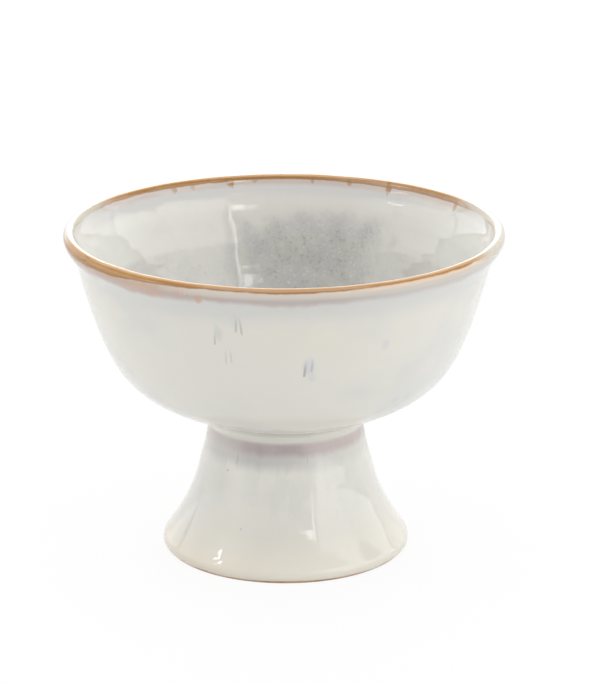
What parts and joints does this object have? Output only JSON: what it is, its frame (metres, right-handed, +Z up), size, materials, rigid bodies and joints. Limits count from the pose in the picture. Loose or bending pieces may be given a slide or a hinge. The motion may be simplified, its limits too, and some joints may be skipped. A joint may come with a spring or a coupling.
{
  "type": "footed compote bowl",
  "caption": "Round glazed stoneware bowl with a rolled lip, on a hollow flared pedestal, for serving fruit, desserts or salad.",
  "frame": {"origin": "centre of the foot ring's underside, on the surface that the bowl stands on", "axes": "+Z up along the axis that the bowl and the pedestal are turned about; the picture looks along +Y"},
  "size_m": [0.16, 0.16, 0.1212],
  "materials": {
    "clay": "matte, fired and bare",
    "slip": "matte, fired",
    "inner_glaze": "gloss, finely speckled",
    "outer_glaze": "gloss, cream with faint lavender drips",
    "rim_glaze": "gloss, amber"
  },
  "bodies": {
    "root": {"bowl_body": "clay", "pedestal_body": "clay", "joining_slip": "slip", "bowl_inner_glaze": "inner_glaze", "bowl_outer_glaze": "outer_glaze", "rim_glaze": "rim_glaze", "pedestal_outer_glaze": "outer_glaze", "pedestal_inner_glaze": "outer_glaze"}
  },
  "joints": []
}
